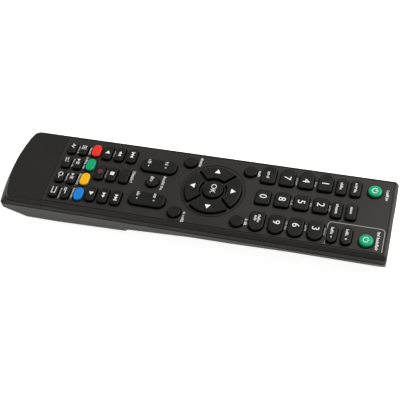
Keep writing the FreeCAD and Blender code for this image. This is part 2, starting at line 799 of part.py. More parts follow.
# Two cells, laid opposite ways round
cellFront = tubFront - size("contactThickness") - size("cellClearance")
cellPlaces = [(-1, 1), (1, -1)]
cells = []
contacts = []
for side, way in cellPlaces:
    x = side * (size("cellDiameter") + size("cellGap")) / 2
    nub = size("cellNubLength")
    spare = size("springLength")
    bodyBack = cellFront - size("cellLength") - (nub if way > 0 else spare)
    can = Part.makeCylinder(size("cellDiameter") / 2, size("cellLength"), Vector(x, bodyBack, cellCentre),
                            Vector(0, 1, 0))
    rims = [edge for edge in can.Edges if edge.Curve.TypeId == "Part::GeomCircle"]
    can = can.makeFillet(size("cellEdgeRadius"), rims)
    nubStart = bodyBack + size("cellLength") if way > 0 else bodyBack - nub
    cells.append(can.fuse(Part.makeCylinder(size("cellNubDiameter") / 2, nub, Vector(x, nubStart, cellCentre),
                                            Vector(0, 1, 0))))
    plateLow = cellCentre - size("contactHeight") / 2
    halfPlate = size("contactWidth") / 2
    thick = size("contactThickness")
    flatY = tubFront - thick if way > 0 else tubBack
    springY = tubBack if way > 0 else tubFront - thick
    for y in (flatY, springY):
        contacts.append(block(x - halfPlate, x + halfPlate, y, y + thick, plateLow, plateLow + size("contactHeight")))
    springStart = springY + thick if way > 0 else springY - size("springLength")
    contacts.append(Part.makeCone(size("springDiameter") / 2 if way > 0 else size("springDiameter") / 3,
                                  size("springDiameter") / 3 if way > 0 else size("springDiameter") / 2,
                                  size("springLength"), Vector(x, springStart, cellCentre), Vector(0, 1, 0)))
feature("batteries", Part.makeCompound(cells))
feature("battery_contacts", Part.makeCompound(contacts))

# Circuit board with its screws, the rubber mat on it, and what is soldered under it
board = planBlock(size("boardInset"), boardBottom, boardTop)
boardFront = halfLength - size("boardFrontGap")
board = board.common(block(-wide, wide, row("boardBackRow"), boardFront, 0, tall))
board = board.cut(screwHoles(size("screwDiameter") + 4 * size("screwClearance"), boardBottom - 1, boardTop + 1))
feature("circuit_board", board)

mat = planBlock(size("matInset"), boardTop, boardTop + size("matThickness"))
mat = mat.common(block(-wide, wide, row("matBackRow"), halfLength - size("matFrontGap"), 0, tall))
mat = mat.cut(matHoles + screwHoles(size("bossDiameter") + 2 * size("matHoleGap"), boardTop - 1, panelUnder))
feature("keypad_mat", mat)

screws = []
for shank, head in zip(screwHoles(size("screwDiameter"), boardBottom, boardBottom + size("screwLength")),
                       screwHoles(size("screwHeadDiameter"), boardBottom - size("screwHeadHeight"), boardBottom)):
    screws.append(head.fuse(shank).removeSplitter())
feature("board_screws", Part.makeCompound(screws))

chipY = row("chipRow")
chip = block(-size("chipWidth") / 2, size("chipWidth") / 2, chipY - size("chipLength") / 2,
             chipY + size("chipLength") / 2, boardBottom - size("chipHeight"), boardBottom)
crystal = Part.makeCylinder(size("crystalDiameter") / 2, size("crystalLength"),
                            Vector(-size("crystalLength") / 2, row("crystalRow"),
                                   boardBottom - size("crystalDiameter") / 2), Vector(1, 0, 0))
capacitor = Part.makeCylinder(size("capacitorDiameter") / 2, size("capacitorLength"),
                              Vector(-size("capacitorLength") / 2, row("capacitorRow"),
                                     boardBottom - size("capacitorDiameter") / 2), Vector(1, 0, 0))
ledZ = boardTop - size("boardThickness") / 2 + size("ledRise")
ledBase = boardFront + size("keyClearance")
ledStraight = size("ledLength") - size("ledDiameter") / 2
led = Part.makeCylinder(size("ledFlange") / 2, size("ledFlangeThickness"), Vector(0, ledBase, ledZ), Vector(0, 1, 0))
led = led.fuse(Part.makeCylinder(size("ledDiameter") / 2, ledStraight, Vector(0, ledBase, ledZ), Vector(0, 1, 0)))
led = led.fuse(Part.makeSphere(size("ledDiameter") / 2, Vector(0, ledBase + ledStraight, ledZ)))
feature("board_components", Part.makeCompound([chip, crystal, capacitor, led.removeSplitter()]))

doc.recompute()

faults = [item.Label for item in doc.Objects if "Invalid" in item.State or "Error" in item.State]
faults += [piece.Label for piece in finished if piece.Shape.isNull() or not piece.Shape.isValid()]
if faults:
    raise RuntimeError("these did not build: " + ", ".join(faults))

os.makedirs("parts", exist_ok=True)
for piece in finished:
    piece.Shape.exportStep("parts/" + piece.Label + ".step")
    box = piece.Shape.BoundBox
    print("%-24s solids %d volume %9.1f  x %.1f..%.1f  y %.1f..%.1f  z %.2f..%.2f" % (
        piece.Label, len(piece.Shape.Solids), piece.Shape.Volume,
        box.XMin, box.XMax, box.YMin, box.YMax, box.ZMin, box.ZMax))
print("sub-parts written:", len(finished))
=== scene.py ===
import json
import math

import bmesh
import bpy
from mathutils import Matrix, Vector


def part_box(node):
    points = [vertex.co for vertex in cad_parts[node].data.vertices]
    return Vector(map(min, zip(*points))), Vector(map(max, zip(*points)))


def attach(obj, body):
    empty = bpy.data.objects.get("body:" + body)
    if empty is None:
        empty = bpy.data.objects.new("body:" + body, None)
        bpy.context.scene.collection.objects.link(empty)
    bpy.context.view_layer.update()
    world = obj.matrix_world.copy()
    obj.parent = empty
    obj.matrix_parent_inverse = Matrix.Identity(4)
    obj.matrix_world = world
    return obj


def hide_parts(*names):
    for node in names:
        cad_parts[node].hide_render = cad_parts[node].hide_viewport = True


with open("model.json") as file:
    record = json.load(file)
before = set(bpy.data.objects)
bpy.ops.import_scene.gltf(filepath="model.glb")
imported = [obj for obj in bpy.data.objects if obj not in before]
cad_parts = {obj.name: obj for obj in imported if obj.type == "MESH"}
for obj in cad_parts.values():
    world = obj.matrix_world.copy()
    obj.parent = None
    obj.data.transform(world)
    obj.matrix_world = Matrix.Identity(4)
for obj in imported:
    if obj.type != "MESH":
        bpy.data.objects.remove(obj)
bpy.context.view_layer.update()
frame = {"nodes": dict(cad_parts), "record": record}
nodes = frame["nodes"]
record = frame["record"]
mm = 0.001

bodyOf = {}    # node name to the body that it rides on
for body, names in record["behaviour"]["bodies"].items():
    for name in names:
        bodyOf[name] = body
slotOf = {part["node"]: part["material_slot"] for part in record["subparts"]}
print("stage: frame loaded,", len(nodes), "nodes")


# Colours and nodes

def srgb(hexValue):
    channels = [int(hexValue[i:i + 2], 16) / 255 for i in (0, 2, 4)]
    return tuple(c / 12.92 if c <= 0.04045 else ((c + 0.055) / 1.055) ** 2.4 for c in channels) + (1.0,)


def addNode(tree, kind, settings=None, links=None):
    node = tree.nodes.new(kind)
    for name, value in (settings or {}).items():
        if isinstance(name, str) and hasattr(node, name) and name not in node.inputs:
            setattr(node, name, value)
        else:
            node.inputs[name].default_value = value
    for name, (source, output) in (links or {}).items():
        tree.links.new(source.outputs[output], node.inputs[name])
    return node


def newMaterial(name):
    material = bpy.data.materials.new(name)
    material.use_nodes = True
    tree = material.node_tree
    tree.nodes.clear()
    output = tree.nodes.new("ShaderNodeOutputMaterial")
    coords = tree.nodes.new("ShaderNodeTexCoord")
    return material, tree, output, coords


def twoTone(tree, source, look):
    ramp = addNode(tree, "ShaderNodeValToRGB", {}, {"Fac": (source, "Fac")})
    ramp.color_ramp.elements[0].position = look.get("from", 0.3)
    ramp.color_ramp.elements[0].color = srgb(look["dark"])
    ramp.color_ramp.elements[1].position = look.get("to", 0.7)
    ramp.color_ramp.elements[1].color = srgb(look["light"])
    return ramp


# Moulded plastics: a fine spark grain breaks up the gloss, slow clouds and handling wear shift
# colour and gloss, and painted shade darkens the colour where walls meet

# painted shade where walls meet: creviceShadeMm is how far it reaches and crevice is its power
plasticCommon = {"creviceShadeMm": 1.2, "creviceShade": 1.0, "samples": 8, "handled": 0.04, "bumpShare": 0.12,
                 "coat": 0.0, "coatRoughness": 0.12, "specular": 0.3, "ior": 1.5}


def mouldedPlastic(name, ownLook):
    look = dict(plasticCommon, **ownLook)
    material, tree, output, coords = newMaterial(name)
    grain = addNode(tree, "ShaderNodeTexNoise",
                    {"Scale": 1 / (look["grainMm"] * mm), "Detail": 3.0, "Roughness": 0.6},
                    {"Vector": (coords, "Object")})
    cloud = addNode(tree, "ShaderNodeTexNoise", {"Scale": 1 / (look["cloudMm"] * mm), "Detail": 2.0},
                    {"Vector": (coords, "Object")})
    tone = twoTone(tree, cloud, look)
    # painted shade: ambient occlusion darkens the base colour where walls meet, within creviceShadeMm, raised
    # to the crevice power
    creviceShade = addNode(tree, "ShaderNodeAmbientOcclusion",
                      {"samples": look["samples"], "Distance": look["creviceShadeMm"] * mm},
                      {"Color": (tone, "Color")})
    depth = addNode(tree, "ShaderNodeMath", {"operation": "POWER", 1: look["creviceShade"]}, {0: (creviceShade, "AO")})
    shaded = addNode(tree, "ShaderNodeVectorMath", {"operation": "SCALE"},
                     {"Vector": (creviceShade, "Color"), "Scale": (depth, "Value")})
    gloss = addNode(tree, "ShaderNodeMapRange",
                    {"From Min": 0.3, "From Max": 0.7, "To Min": look["smooth"], "To Max": look["rough"]},
                    {"Value": (grain, "Fac")})
    handled = addNode(tree, "ShaderNodeMapRange",
                      {"From Min": 0.35, "From Max": 0.65, "To Min": -look["handled"],
                       "To Max": look["handled"]},
                      {"Value": (cloud, "Fac")})
    worn = addNode(tree, "ShaderNodeMath", {"operation": "ADD"},
                   {0: (gloss, "Result"), 1: (handled, "Result")})
    bump = addNode(tree, "ShaderNodeBump",
                   {"Strength": look["bump"], "Distance": look["grainMm"] * mm * look["bumpShare"]},
                   {"Height": (grain, "Fac")})
    shader = addNode(tree, "ShaderNodeBsdfPrincipled",
                     {"IOR": look["ior"], "Specular IOR Level": look["specular"],
                      "Coat Weight": look["coat"], "Coat Roughness": look["coatRoughness"]},
                     {"Base Color": (shaded, "Vector"), "Roughness": (worn, "Value"),
                      "Normal": (bump, "Normal")})
    tree.links.new(shader.outputs["BSDF"], output.inputs["Surface"])
    return material


plasticLooks = {
    # upper shell: black ABS with a fine satin spark finish, a warm grey where light rakes it
    "satin_abs_panel": {"grainMm": 0.25, "cloudMm": 30, "dark": "292725", "light": "2e2c29", "smooth": 0.42,
                        "rough": 0.56, "bump": 0.3, "specular": 0.13},
    # separate end panel: the same ABS, a shade deeper and smoother
    "satin_abs_end_panel": {"grainMm": 0.2, "cloudMm": 26, "dark": "1f1f1d", "light": "242321", "smooth": 0.4,
                            "rough": 0.5, "bump": 0.22, "specular": 0.13},
    # lower shell and cover: coarser spark finish that takes more of the table's light
    "textured_abs_case": {"grainMm": 0.45, "cloudMm": 35, "dark": "272522", "light": "2d2b28", "smooth": 0.26,
                          "rough": 0.4, "bump": 0.25, "specular": 0.6},
    # dark keys: hard satin plastic, blacker than the panel, with strong painted shade down their walls
    "satin_abs_key": {"grainMm": 0.2, "cloudMm": 12, "dark": "191918", "light": "1e1e1d", "smooth": 0.34,
                      "rough": 0.48, "bump": 0.15, "specular": 0.1, "creviceShade": 3.0, "creviceShadeMm": 2.5},
    # infrared window: polished black acrylic that only infrared passes
    "polished_acrylic_window": {"grainMm": 0.8, "cloudMm": 8, "dark": "0b0709", "light": "0e090b",
                                "smooth": 0.06, "rough": 0.1, "bump": 0.02, "specular": 0.25},
    # keypad mat: moulded silicone rubber, dead matt
    "silicone_rubber_mat": {"grainMm": 0.5, "cloudMm": 15, "dark": "1d1d1e", "light": "252527", "smooth": 0.7,
                            "rough": 0.85, "bump": 0.2},
    # circuit board: brown phenolic laminate, resin rich and slightly mottled
    "phenolic_laminate_board": {"grainMm": 0.9, "cloudMm": 20, "dark": "6b5526", "light": "7a632f",
                                "smooth": 0.4, "rough": 0.55, "bump": 0.1},
    # chip, capacitor sleeve and crystal: moulded epoxy
    "moulded_epoxy_parts": {"grainMm": 0.3, "cloudMm": 10, "dark": "121214", "light": "19191b", "smooth": 0.5,
                            "rough": 0.6, "bump": 0.15},
    # cell sleeve: shrink film pulled tight over the can, glossy
    "shrink_film_sleeve": {"grainMm": 1.5, "cloudMm": 12, "dark": "1d222b", "light": "262d38", "smooth": 0.2,
                           "rough": 0.3, "bump": 0.05, "coat": 0.3, "specular": 0.5},
    # band round the cell: the same film, printed silver grey
    "shrink_film_band": {"grainMm": 1.2, "cloudMm": 9, "dark": "9c9ea1", "light": "aeb0b3", "smooth": 0.22,
                         "rough": 0.32, "bump": 0.05, "coat": 0.3, "specular": 0.5},
}
plastics = {name: mouldedPlastic(name, look) for name, look in plasticLooks.items()}

# coloured keys: self-coloured plastic, glossier than the dark keys, with painted shade where walls meet
colourLook = {"grainMm": 0.4, "cloudMm": 9, "smooth": 0.26, "rough": 0.38, "bump": 0.08, "coat": 0.03,
              "specular": 0.15, "creviceShadeMm": 2.0}
colourTones = {
    "power": ("0f8f64", "159a6d"),
    "red": ("e62e25", "f0382e"),
    "green": ("0a9b68", "0fa872"),
    "yellow": ("f2b414", "fac322"),
    "blue": ("1a7bd0", "2387da"),
}
for name, (dark, light) in colourTones.items():
    plastics[name] = mouldedPlastic("glossy_abs_" + name, dict(colourLook, dark=dark, light=light))


# Plated metal: bright, with drawing lines along Y that show in the gloss and a little in the colour

def platedSteel(name, look):
    material, tree, output, coords = newMaterial(name)
    stretch = addNode(tree, "ShaderNodeMapping", {"Scale": (1.0, look["lineShare"], 1.0)},
                      {"Vector": (coords, "Object")})
    lines = addNode(tree, "ShaderNodeTexNoise", {"Scale": 1 / (look["lineMm"] * mm), "Detail": 2.0},
                    {"Vector": (stretch, "Vector")})
    gloss = addNode(tree, "ShaderNodeMapRange", {"To Min": look["smooth"], "To Max": look["rough"]},
                    {"Value": (lines, "Fac")})
    tone = twoTone(tree, lines, look)
    shader = addNode(tree, "ShaderNodeBsdfPrincipled", {"Metallic": 1.0},
                     {"Base Color": (tone, "Color"), "Roughness": (gloss, "Result")})
    tree.links.new(shader.outputs["BSDF"], output.inputs["Surface"])
    return material


# contact plates and springs: nickel over steel, a warm white metal
nickelPlate = platedSteel("nickel_plated_spring_steel", {"lineMm": 0.3, "lineShare": 0.08, "smooth": 0.2,
                                                         "rough": 0.4, "dark": "a9a8a2", "light": "cfcdc6"})
# board screws: zinc over steel, bluer and duller
zincPlate = platedSteel("zinc_plated_screw_steel", {"lineMm": 0.2, "lineShare": 0.08, "smooth": 0.3,
                                                    "rough": 0.5, "dark": "8d8f92", "light": "b6b8bb"})


# Pad printing ink: a chalky film, thinner in specks

def printedInk(name, look):
    material, tree, output, coords = newMaterial(name)
    speckle = addNode(tree, "ShaderNodeTexNoise", {"Scale": 1 / (look["speckleMm"] * mm), "Detail": 2.0},
                      {"Vector": (coords, "Object")})
    tone = twoTone(tree, speckle, look)
    shader = addNode(tree, "ShaderNodeBsdfPrincipled", {"Roughness": 0.6, "Specular IOR Level": 0.3},
                     {"Base Color": (tone, "Color")})
    tree.links.new(shader.outputs["BSDF"], output.inputs["Surface"])
    return material


inkLooks = {
    "white": {"dark": "cfcfcb", "light": "f0f0ed"},
    "grey": {"dark": "8f8e8b", "light": "a9a8a4"},
    "dark_red": {"dark": "4d2026", "light": "5e2a30"},
    "pale_mint": {"dark": "a9e2cb", "light": "bfeedb"},
}
inkSpecks = {"speckleMm": 0.15, "from": 0.2, "to": 0.5}
inks = {name: printedInk(name + "_pad_print_ink", dict(look, **inkSpecks)) for name, look in inkLooks.items()}

# Finish of every node of the solid model

nodeFinish = {
    "upper_case": plastics["satin_abs_panel"],
    "end_panel": plastics["satin_abs_end_panel"],
    "lower_case": plastics["textured_abs_case"],
    "battery_cover": plastics["textured_abs_case"],
    "ir_window": plastics["polished_acrylic_window"],
    "keypad_mat": plastics["silicone_rubber_mat"],
    "circuit_board": plastics["phenolic_laminate_board"],
    "board_components": plastics["moulded_epoxy_parts"],
    "batteries": plastics["shrink_film_sleeve"],
    "battery_contacts": nickelPlate,
    "board_screws": zincPlate,
    "power_key": plastics["power"],
    "second_power_key": plastics["power"],
    "red_key": plastics["red"],
    "green_key": plastics["green"],
    "yellow_key": plastics["yellow"],
    "blue_key": plastics["blue"],
}
for name, node in nodes.items():
    finish = nodeFinish.get(name, plastics["satin_abs_key"])
    if not node.material_slots:
        node.data.materials.append(finish)
    for slot in node.material_slots:
        slot.material = finish
print("stage: materials")


# Pieces: a mesh under a name, on a body, with a finish

def addPiece(name, mesh, material, body, slot, stands=()):
    piece = bpy.data.objects.new(name, mesh)
    bpy.context.scene.collection.objects.link(piece)
    mesh.materials.clear()
    mesh.materials.append(material)
    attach(piece, body)
    for node in stands:
        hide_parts(node)
    return piece


mergeDistance = 0.001 * mm


def addShape(name, shape, *rest, **more):
    bmesh.ops.remove_doubles(shape, verts=shape.verts[:], dist=mergeDistance)
    bmesh.ops.recalc_face_normals(shape, faces=shape.faces[:])
    mesh = bpy.data.meshes.new(name)
    shape.to_mesh(mesh)
    shape.free()
    return addPiece(name, mesh, *rest, **more)


def evaluatedMesh(holder):
    bpy.context.scene.collection.objects.link(holder)
    graph = bpy.context.evaluated_depsgraph_get()
    mesh = bpy.data.meshes.new_from_object(holder.evaluated_get(graph))
    bpy.data.objects.remove(holder)
    return mesh


# Prints: thin ink that lies on the key tops and on the panel, measured in mm from the middle of its key.
# bend is the number of straight pieces in a half turn.

printLook = {"film": 0.05, "sunk": 0.02, "digitHeight": 3.8, "letterHeight": 2.9, "weight": -0.004,
             "bend": 14, "leastPieces": 3, "mitreLimit": 0.5}
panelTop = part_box("upper_case")[1][2]


def circlePoints(radius, x=0.0, y=0.0, start=0.0, end=360.0):
    count = max(int(printLook["bend"] * abs(end - start) / 180), printLook["leastPieces"])
    steps = count if abs(end - start) == 360 else count + 1
    angles = [math.radians(start + (end - start) * i / count) for i in range(steps)]
    return [(x + radius * math.cos(a), y + radius * math.sin(a)) for a in angles]


def stroke(points, width, closed=False):
    # a line of one width, as a row of four-cornered pieces that meet on their mitres
    line = [Vector(point) for point in points]
    count = len(line)
    lefts, rights = [], []
    for i, point in enumerate(line):
        before = line[i - 1] if i or closed else point
        after = line[(i + 1) % count] if i < count - 1 or closed else point
        ways = [(b - a).normalized() for a, b in ((before, point), (point, after)) if (b - a).length > 0]
        way = (ways[0] + ways[-1]).normalized()
        mitre = max(way.dot(ways[0]), printLook["mitreLimit"])
        across = Vector((-way.y, way.x)) * (width / 2 / mitre)
        lefts.append(point + across)
        rights.append(point - across)
    last = count if closed else count - 1
    return [[rights[i], rights[(i + 1) % count], lefts[(i + 1) % count], lefts[i]] for i in range(last)]


def bar(x, y, across, along):
    return [(x - across / 2, y - along / 2), (x + across / 2, y - along / 2),
            (x + across / 2, y + along / 2), (x - across / 2, y + along / 2)]


def addOutlines(shape, outlines, centre, top):
    low = top - printLook["sunk"] * mm
    high = top + printLook["film"] * mm
    for outline in outlines:
        rows = []
        for height in (low, high):
            rows.append([shape.verts.new((centre[0] + x * mm, centre[1] + y * mm, height))
                         for x, y in outline])
        shape.faces.new(rows[0][::-1])
        shape.faces.new(rows[1])
        for i in range(len(outline)):
            j = (i + 1) % len(outline)
            shape.faces.new((rows[0][i], rows[0][j], rows[1][j], rows[1][i]))


def addText(shape, text, height, centre, top):
    curve = bpy.data.curves.new("text", "FONT")
    curve.body = text
    curve.extrude = 0.5    # any thickness, scaled to the film's below
    curve.offset = printLook["weight"]
    mesh = evaluatedMesh(bpy.data.objects.new("text", curve))
    corners = [vertex.co for vertex in mesh.vertices]
    lows = [min(corner[i] for corner in corners) for i in range(3)]
    highs = [max(corner[i] for corner in corners) for i in range(3)]
    scale = height * mm / (highs[1] - lows[1])
    thick = (printLook["film"] + printLook["sunk"]) * mm
    middle = Vector([(low + high) / 2 for low, high in zip(lows, highs)])
    size = Matrix.Diagonal((scale, scale, thick / (highs[2] - lows[2]), 1))
    place = Vector((centre[0], centre[1], top + (printLook["film"] - printLook["sunk"]) / 2 * mm))
    mesh.transform(Matrix.Translation(place) @ size @ Matrix.Translation(-middle))
    shape.from_mesh(mesh)
    bpy.data.meshes.remove(mesh)


# Words: rows of small upright strokes of two heights, some joined by a short level stroke, that spell
# nothing. pitch and stroke are in mm, the rest are shares of the word's height or of the strokes.

wordLook = {"pitch": 0.56, "stroke": 0.25, "low": 0.68, "tallShare": 0.35, "keepShare": 0.93,
            "levelShare": 0.5, "levelLow": -0.42, "levelDrop": 0.58, "levelStroke": 0.8, "levelFilm": 0.9,
            "seedStep": 7}


def newNodeGroup(name, inputs):
    tree = bpy.data.node_groups.new(name, "GeometryNodeTree")
    names = {}    # an input's label to the identifier that a modifier sets it by
    for label, kind in inputs:
        socket = tree.interface.new_socket(name=label, in_out="INPUT", socket_type="NodeSocket" + kind)
        names[label] = socket.identifier
    tree.interface.new_socket(name="Geometry", in_out="OUTPUT", socket_type="NodeSocketGeometry")
    given = tree.nodes.new("NodeGroupInput")
    return tree, names, given


def finishNodeGroup(tree, given, source, output):
    real = addNode(tree, "GeometryNodeRealizeInstances", {}, {"Geometry": (source, output)})
    inked = addNode(tree, "GeometryNodeSetMaterial", {},
                    {"Geometry": (real, "Geometry"), "Material": (given, "Material")})
    out = tree.nodes.new("NodeGroupOutput")
    tree.links.new(inked.outputs["Geometry"], out.inputs["Geometry"])


def calculate(tree, operation, first, second):
    settings, links = {"operation": operation}, {}
    for i, value in enumerate((first, second)):
        if isinstance(value, tuple):
            links[i] = value
        else:
            settings[i] = value
    return addNode(tree, "ShaderNodeMath", settings, links), "Value"


def drawnShare(tree, given, shift):
    seed = calculate(tree, "ADD", (given, "Seed"), shift)
    return addNode(tree, "FunctionNodeRandomValue", {"data_type": "FLOAT"}, {"Seed": seed}), "Value"


def strokesOnLine(tree, line, offset, size, keep, links):
    # a small block on each kept point of the line, moved by the offset
    places = addNode(tree, "GeometryNodeSetPosition", {},
                     {"Geometry": (line, "Mesh"), "Offset": (offset, "Vector")})
    block = addNode(tree, "GeometryNodeMeshCube", {}, {"Size": (size, "Vector")})
    placed = {"Points": (places, "Geometry"), "Selection": keep, "Instance": (block, "Mesh")}
    return addNode(tree, "GeometryNodeInstanceOnPoints", {}, dict(placed, **links))


def buildWordTree():
    look = wordLook
    tree, names, given = newNodeGroup("wordStrokes", [
        ("Length", "Float"), ("Height", "Float"), ("Pitch", "Float"), ("Stroke", "Float"), ("Film", "Float"),
        ("Seed", "Int"), ("Material", "Material")])
    count = calculate(tree, "FLOOR", calculate(tree, "DIVIDE", (given, "Length"), (given, "Pitch")), 0.0)
    first = addNode(tree, "ShaderNodeCombineXYZ", {},
                    {"X": calculate(tree, "MULTIPLY", (given, "Length"), -0.5)})
    step = addNode(tree, "ShaderNodeCombineXYZ", {}, {"X": (given, "Pitch")})
    line = addNode(tree, "GeometryNodeMeshLine", {"mode": "OFFSET"},
                   {"Count": count, "Start Location": (first, "Vector"), "Offset": (step, "Vector")})

    # upright strokes, tall or low, that stand on one base line
    isTall = calculate(tree, "LESS_THAN", drawnShare(tree, given, 0.0), look["tallShare"])
    share = addNode(tree, "ShaderNodeMapRange", {"To Min": look["low"], "To Max": 1.0}, {"Value": isTall})
    lift = calculate(tree, "MULTIPLY", calculate(tree, "MULTIPLY", (given, "Height"), 0.5),
                     calculate(tree, "SUBTRACT", (share, "Result"), 1.0))
    offset = addNode(tree, "ShaderNodeCombineXYZ", {}, {"Y": lift})
    size = addNode(tree, "ShaderNodeCombineXYZ", {},
                   {"X": (given, "Stroke"), "Y": (given, "Height"), "Z": (given, "Film")})
    keep = calculate(tree, "LESS_THAN", drawnShare(tree, given, 1.0), look["keepShare"])
    stretch = addNode(tree, "ShaderNodeCombineXYZ", {"X": 1.0, "Z": 1.0}, {"Y": (share, "Result")})
    uprights = strokesOnLine(tree, line, offset, size, keep, {"Scale": (stretch, "Vector")})

    # level strokes that join an upright to the next one, at its foot or at the height of a low one
    levelDraw = drawnShare(tree, given, 2.0)
    joined = calculate(tree, "LESS_THAN", levelDraw, look["levelShare"])
    isHigh = calculate(tree, "LESS_THAN", levelDraw, look["levelShare"] / 2)
    height = addNode(tree, "ShaderNodeMapRange",
                     {"To Min": look["levelLow"], "To Max": look["low"] - look["levelDrop"]},
                     {"Value": isHigh})
    levelOffset = addNode(tree, "ShaderNodeCombineXYZ", {},
                          {"X": calculate(tree, "MULTIPLY", (given, "Pitch"), 0.5),
                           "Y": calculate(tree, "MULTIPLY", (given, "Height"), (height, "Result"))})
    levelSize = addNode(tree, "ShaderNodeCombineXYZ", {},
                        {"X": (given, "Pitch"),
                         "Y": calculate(tree, "MULTIPLY", (given, "Stroke"), look["levelStroke"]),
                         "Z": calculate(tree, "MULTIPLY", (given, "Film"), look["levelFilm"])})
    levels = strokesOnLine(tree, line, levelOffset, levelSize, joined, {})

    both = addNode(tree, "GeometryNodeJoinGeometry")
    tree.links.new(levels.outputs["Instances"], both.inputs["Geometry"])
    tree.links.new(uprights.outputs["Instances"], both.inputs["Geometry"])
    finishNodeGroup(tree, given, both, "Geometry")
    return tree, names


wordTree, wordInputs = buildWordTree()
wordCount = 0


def addWord(shape, length, height, centre, top):
    global wordCount
    wordCount += 1
    holder = bpy.data.objects.new("word", bpy.data.meshes.new("word"))
    modifier = holder.modifiers.new("strokes", "NODES")
    modifier.node_group = wordTree
    sizes = {"Length": length * mm, "Height": height * mm, "Pitch": wordLook["pitch"] * mm,
             "Stroke": wordLook["stroke"] * mm, "Film": (printLook["film"] + printLook["sunk"]) * mm,
             "Seed": wordCount * wordLook["seedStep"]}
    for label, value in sizes.items():
        modifier[wordInputs[label]] = value
    mesh = evaluatedMesh(holder)
    lift = (printLook["film"] - printLook["sunk"]) / 2 * mm
    mesh.transform(Matrix.Translation((centre[0], centre[1], top + lift)))
    shape.from_mesh(mesh)
    bpy.data.meshes.remove(mesh)


# Signs, in mm, drawn along X, the way that the labels run

symbolLook = {"triangle": 2.2, "pair": 1.65, "triangleHalf": 0.62, "bar": 0.6, "barHeight": 2.1,
              "square": 2.2, "dot": 1.5}
arrowLook = {"length": 2.9, "halfFoot": 0.55, "foot": 0.42, "tip": 0.5}
powerLook = {"radius": 1.45, "stroke": 0.42, "open": 38, "stem": 1.5, "stemPlace": 0.75}
listLook = {"pointer": 1.5, "pointerX": -1.1, "lineX": 0.9, "line": (1.9, 0.32), "rows": (-0.6, 0.1, 0.8)}


def triangle(length, x=0.0, way=1):
    half = length * symbolLook["triangleHalf"]
    return [(x - way * length / 2, -half), (x + way * length / 2, 0), (x - way * length / 2, half)]


def arrow(turn):
    look = arrowLook
    rotation = Matrix.Rotation(math.radians(turn), 2)
    corners = ((-look["halfFoot"], -look["foot"]), (look["halfFoot"], -look["foot"]), (0, look["tip"]))
    return [[tuple(rotation @ (Vector(corner) * look["length"])) for corner in corners]]


def minusSign(length, width):
    return [bar(0, 0, length, width)]


def plusSign(length, width):
    return [bar(0, 0, length, width), bar(0, 0, width, length)]


def transportSymbol(kind):
    look = symbolLook
    way = -1 if kind in ("previous", "rewind", "reverse") else 1
    if kind in ("play", "reverse"):
        return [triangle(look["triangle"], 0, way)]
    pair = [triangle(look["pair"], side * look["pair"] / 2, way) for side in (-1, 1)]
    if kind in ("previous", "next"):
        pair.append(bar(way * (look["pair"] + look["bar"] / 2), 0, look["bar"], look["barHeight"]))
    return pair


def powerSymbol():
    look = powerLook
    ring = stroke(circlePoints(look["radius"], 0, 0, 90 + look["open"], 450 - look["open"]), look["stroke"])
    return ring + [bar(0, look["radius"] * look["stemPlace"], look["stroke"], look["stem"])]


def gridSymbol(count, pitch, dot):
    places = [(i - (count - 1) / 2) * pitch for i in range(count)]
    return [bar(x, y, dot, dot) for x in places for y in places]


def listSymbol():
    look = listLook
    return [triangle(look["pointer"], look["pointerX"])] + [bar(look["lineX"], y, *look["line"])
                                                            for y in look["rows"]]


# Each key's prints: a word with its length and height, a text with its signs, or an ink with outlines,
# each followed by its place from the middle of the key

